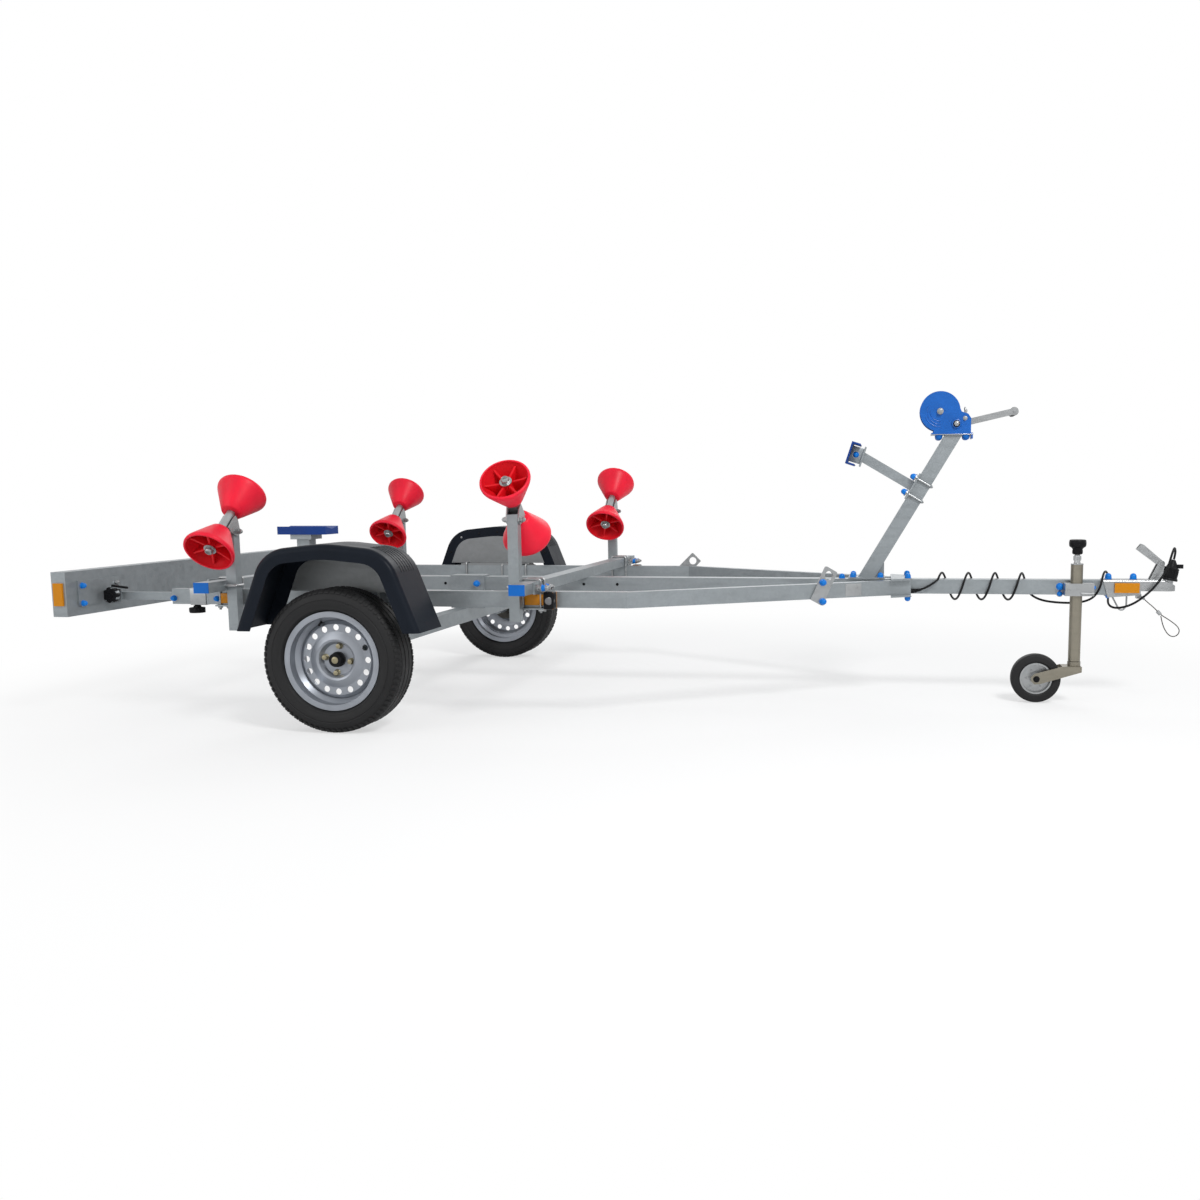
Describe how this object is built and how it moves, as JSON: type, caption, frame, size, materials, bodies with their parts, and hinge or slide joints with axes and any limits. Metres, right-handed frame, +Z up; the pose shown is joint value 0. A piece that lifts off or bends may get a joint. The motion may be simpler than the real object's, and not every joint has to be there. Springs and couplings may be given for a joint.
{
  "type": "boat trailer",
  "caption": "Single-axle boat trailer with roller bunks, keel rest, winch post, ball coupling, jockey wheel and a sliding light board, parked on its jockey wheel.",
  "frame": {"origin": "on the floor under the middle of the overall length and width", "axes": "+X forward to the coupling, +Y to the left, +Z up"},
  "size_m": [4.305, 2.096, 1.268],
  "materials": {
    "galvanised": "hot dip galvanised steel, soft grey spangle",
    "bright_zinc": "bright zinc plated steel",
    "wheel_silver": "silver painted pressed steel",
    "tyre": "black road tyre",
    "red_roller": "red moulded polyurethane",
    "blue_plastic": "blue moulded plastic",
    "winch_blue": "blue painted steel",
    "guard_black": "charcoal moulded plastic",
    "black_plastic": "black moulded plastic",
    "amber": "amber reflector",
    "lamp_red": "red lamp lens"
  },
  "bodies": {
    "frame": {"axle_beam": "galvanised", "beam_end_caps": "blue_plastic", "bow_pad": "blue_plastic", "bow_stop_arm": "galvanised", "breakaway_wire": "bright_zinc", "cable": "black_plastic", "cable_plug": "black_plastic", "coupling": "galvanised", "cross_beams": "galvanised", "drawbar": "galvanised", "drawbar_clamp": "galvanised", "drawbar_saddle": "galvanised", "front_roller_posts": "galvanised", "guard_stays": "galvanised", "jockey_clamp": "galvanised", "jockey_tube": "galvanised", "keel_pad": "blue_plastic", "keel_stand": "galvanised", "mudguard_left": "guard_black", "mudguard_right": "guard_black", "rail_fittings": "black_plastic", "rear_roller_posts": "galvanised", "side_rail_left": "galvanised", "side_rail_right": "galvanised", "side_reflectors": "amber", "tie_downs": "bright_zinc", "trailing_arm_left": "galvanised", "trailing_arm_right": "galvanised", "winch_frame": "winch_blue", "winch_post": "galvanised", "wire_ferrules": "bright_zinc"},
    "wheel_right": {"tyre_right": "tyre", "wheel_rim_right": "wheel_silver", "wheel_hub_right": "bright_zinc"},
    "wheel_left": {"tyre_left": "tyre", "wheel_rim_left": "wheel_silver", "wheel_hub_left": "bright_zinc"},
    "head_front_right": {"roller_head_front_right": "bright_zinc"},
    "cone_front_right_outer": {"cone_front_right_outer": "red_roller"},
    "cone_front_right_inner": {"cone_front_right_inner": "red_roller"},
    "head_front_left": {"roller_head_front_left": "bright_zinc"},
    "cone_front_left_outer": {"cone_front_left_outer": "red_roller"},
    "cone_front_left_inner": {"cone_front_left_inner": "red_roller"},
    "head_rear_right": {"roller_head_rear_right": "bright_zinc"},
    "cone_rear_right_outer": {"cone_rear_right_outer": "red_roller"},
    "cone_rear_right_inner": {"cone_rear_right_inner": "red_roller"},
    "head_rear_left": {"roller_head_rear_left": "bright_zinc"},
    "cone_rear_left_outer": {"cone_rear_left_outer": "red_roller"},
    "cone_rear_left_inner": {"cone_rear_left_inner": "red_roller"},
    "jockey_leg": {"jockey_leg": "bright_zinc"},
    "jockey_fork": {"jockey_fork": "bright_zinc"},
    "jockey_wheel": {"jockey_rim": "wheel_silver", "jockey_tyre": "tyre"},
    "winch_handle": {"winch_handle": "bright_zinc"},
    "winch_drum": {"winch_drum": "winch_blue"},
    "coupling_lever": {"coupling_lever": "bright_zinc"},
    "light_board": {"light_board": "galvanised", "board_slides": "galvanised", "board_lamps": "lamp_red", "board_reflectors": "amber"}
  },
  "joints": [
    {"name": "wheel_right_spin", "type": "hinge", "parent": "frame", "child": "wheel_right", "pos_m": [-1.0225, -0.95, 0.265], "axis": [0, 1, 0], "continuous": true},
    {"name": "wheel_left_spin", "type": "hinge", "parent": "frame", "child": "wheel_left", "pos_m": [-1.0225, 0.95, 0.265], "axis": [0, 1, 0], "continuous": true},
    {"name": "head_front_right_rock", "type": "hinge", "parent": "frame", "child": "head_front_right", "pos_m": [-0.3975, -0.78, 0.77], "axis": [1, 0, 0], "range_deg": [0, 82]},
    {"name": "cone_front_right_outer_spin", "type": "hinge", "parent": "head_front_right", "child": "cone_front_right_outer", "pos_m": [-0.3975, -0.74654, 0.80849], "axis": [0, -0.7547, 0.6561], "continuous": true},
    {"name": "cone_front_right_inner_spin", "type": "hinge", "parent": "head_front_right", "child": "cone_front_right_inner", "pos_m": [-0.3975, -0.74654, 0.80849], "axis": [0, -0.7547, 0.6561], "continuous": true},
    {"name": "head_front_left_rock", "type": "hinge", "parent": "frame", "child": "head_front_left", "pos_m": [-0.3975, 0.78, 0.77], "axis": [-1, 0, 0], "range_deg": [0, 82]},
    {"name": "cone_front_left_outer_spin", "type": "hinge", "parent": "head_front_left", "child": "cone_front_left_outer", "pos_m": [-0.3975, 0.74654, 0.80849], "axis": [0, 0.7547, 0.6561], "continuous": true},
    {"name": "cone_front_left_inner_spin", "type": "hinge", "parent": "head_front_left", "child": "cone_front_left_inner", "pos_m": [-0.3975, 0.74654, 0.80849], "axis": [0, 0.7547, 0.6561], "continuous": true},
    {"name": "head_rear_right_rock", "type": "hinge", "parent": "frame", "child": "head_rear_right", "pos_m": [-1.5265, -0.78, 0.727], "axis": [-1, 0, 0], "range_deg": [0, 82]},
    {"name": "cone_rear_right_outer_spin", "type": "hinge", "parent": "head_rear_right", "child": "cone_rear_right_outer", "pos_m": [-1.5265, -0.81346, 0.76549], "axis": [0, -0.7547, -0.6561], "continuous": true},
    {"name": "cone_rear_right_inner_spin", "type": "hinge", "parent": "head_rear_right", "child": "cone_rear_right_inner", "pos_m": [-1.5265, -0.81346, 0.76549], "axis": [0, -0.7547, -0.6561], "continuous": true},
    {"name": "head_rear_left_rock", "type": "hinge", "parent": "frame", "child": "head_rear_left", "pos_m": [-1.5265, 0.78, 0.727], "axis": [-1, 0, 0], "range_deg": [0, 82]},
    {"name": "cone_rear_left_outer_spin", "type": "hinge", "parent": "head_rear_left", "child": "cone_rear_left_outer", "pos_m": [-1.5265, 0.74654, 0.76549], "axis": [0, 0.7547, 0.6561], "continuous": true},
    {"name": "cone_rear_left_inner_spin", "type": "hinge", "parent": "head_rear_left", "child": "cone_rear_left_inner", "pos_m": [-1.5265, 0.74654, 0.76549], "axis": [0, 0.7547, 0.6561], "continuous": true},
    {"name": "jockey_slide", "type": "slide", "parent": "frame", "child": "jockey_leg", "axis": [0, 0, -1], "range_m": [0, 0.2]},
    {"name": "jockey_swivel", "type": "hinge", "parent": "jockey_leg", "child": "jockey_fork", "pos_m": [1.7275, -0.072, 0.159], "axis": [0, 0, 1], "continuous": true},
    {"name": "jockey_wheel_spin", "type": "hinge", "parent": "jockey_fork", "child": "jockey_wheel", "pos_m": [1.5765, -0.072, 0.1], "axis": [0, 1, 0], "continuous": true},
    {"name": "winch_crank", "type": "hinge", "parent": "frame", "child": "winch_handle", "pos_m": [1.2415, 0, 1.136], "axis": [0, 1, 0], "continuous": true},
    {"name": "winch_drum_spin", "type": "hinge", "parent": "frame", "child": "winch_drum", "pos_m": [1.1755, 0, 1.187], "axis": [0, 1, 0], "continuous": true},
    {"name": "coupling_lever_lift", "type": "hinge", "parent": "frame", "child": "coupling_lever", "pos_m": [2.0655, 0, 0.567], "axis": [0, 1, 0], "range_deg": [0, 55]},
    {"name": "light_board_slide", "type": "slide", "parent": "frame", "child": "light_board", "axis": [-1, 0, 0], "range_m": [0, 0.15]}
  ],
  "couplings": [
    {"joint": "winch_drum_spin", "follows": "winch_crank", "ratio": -0.22727}
  ]
}
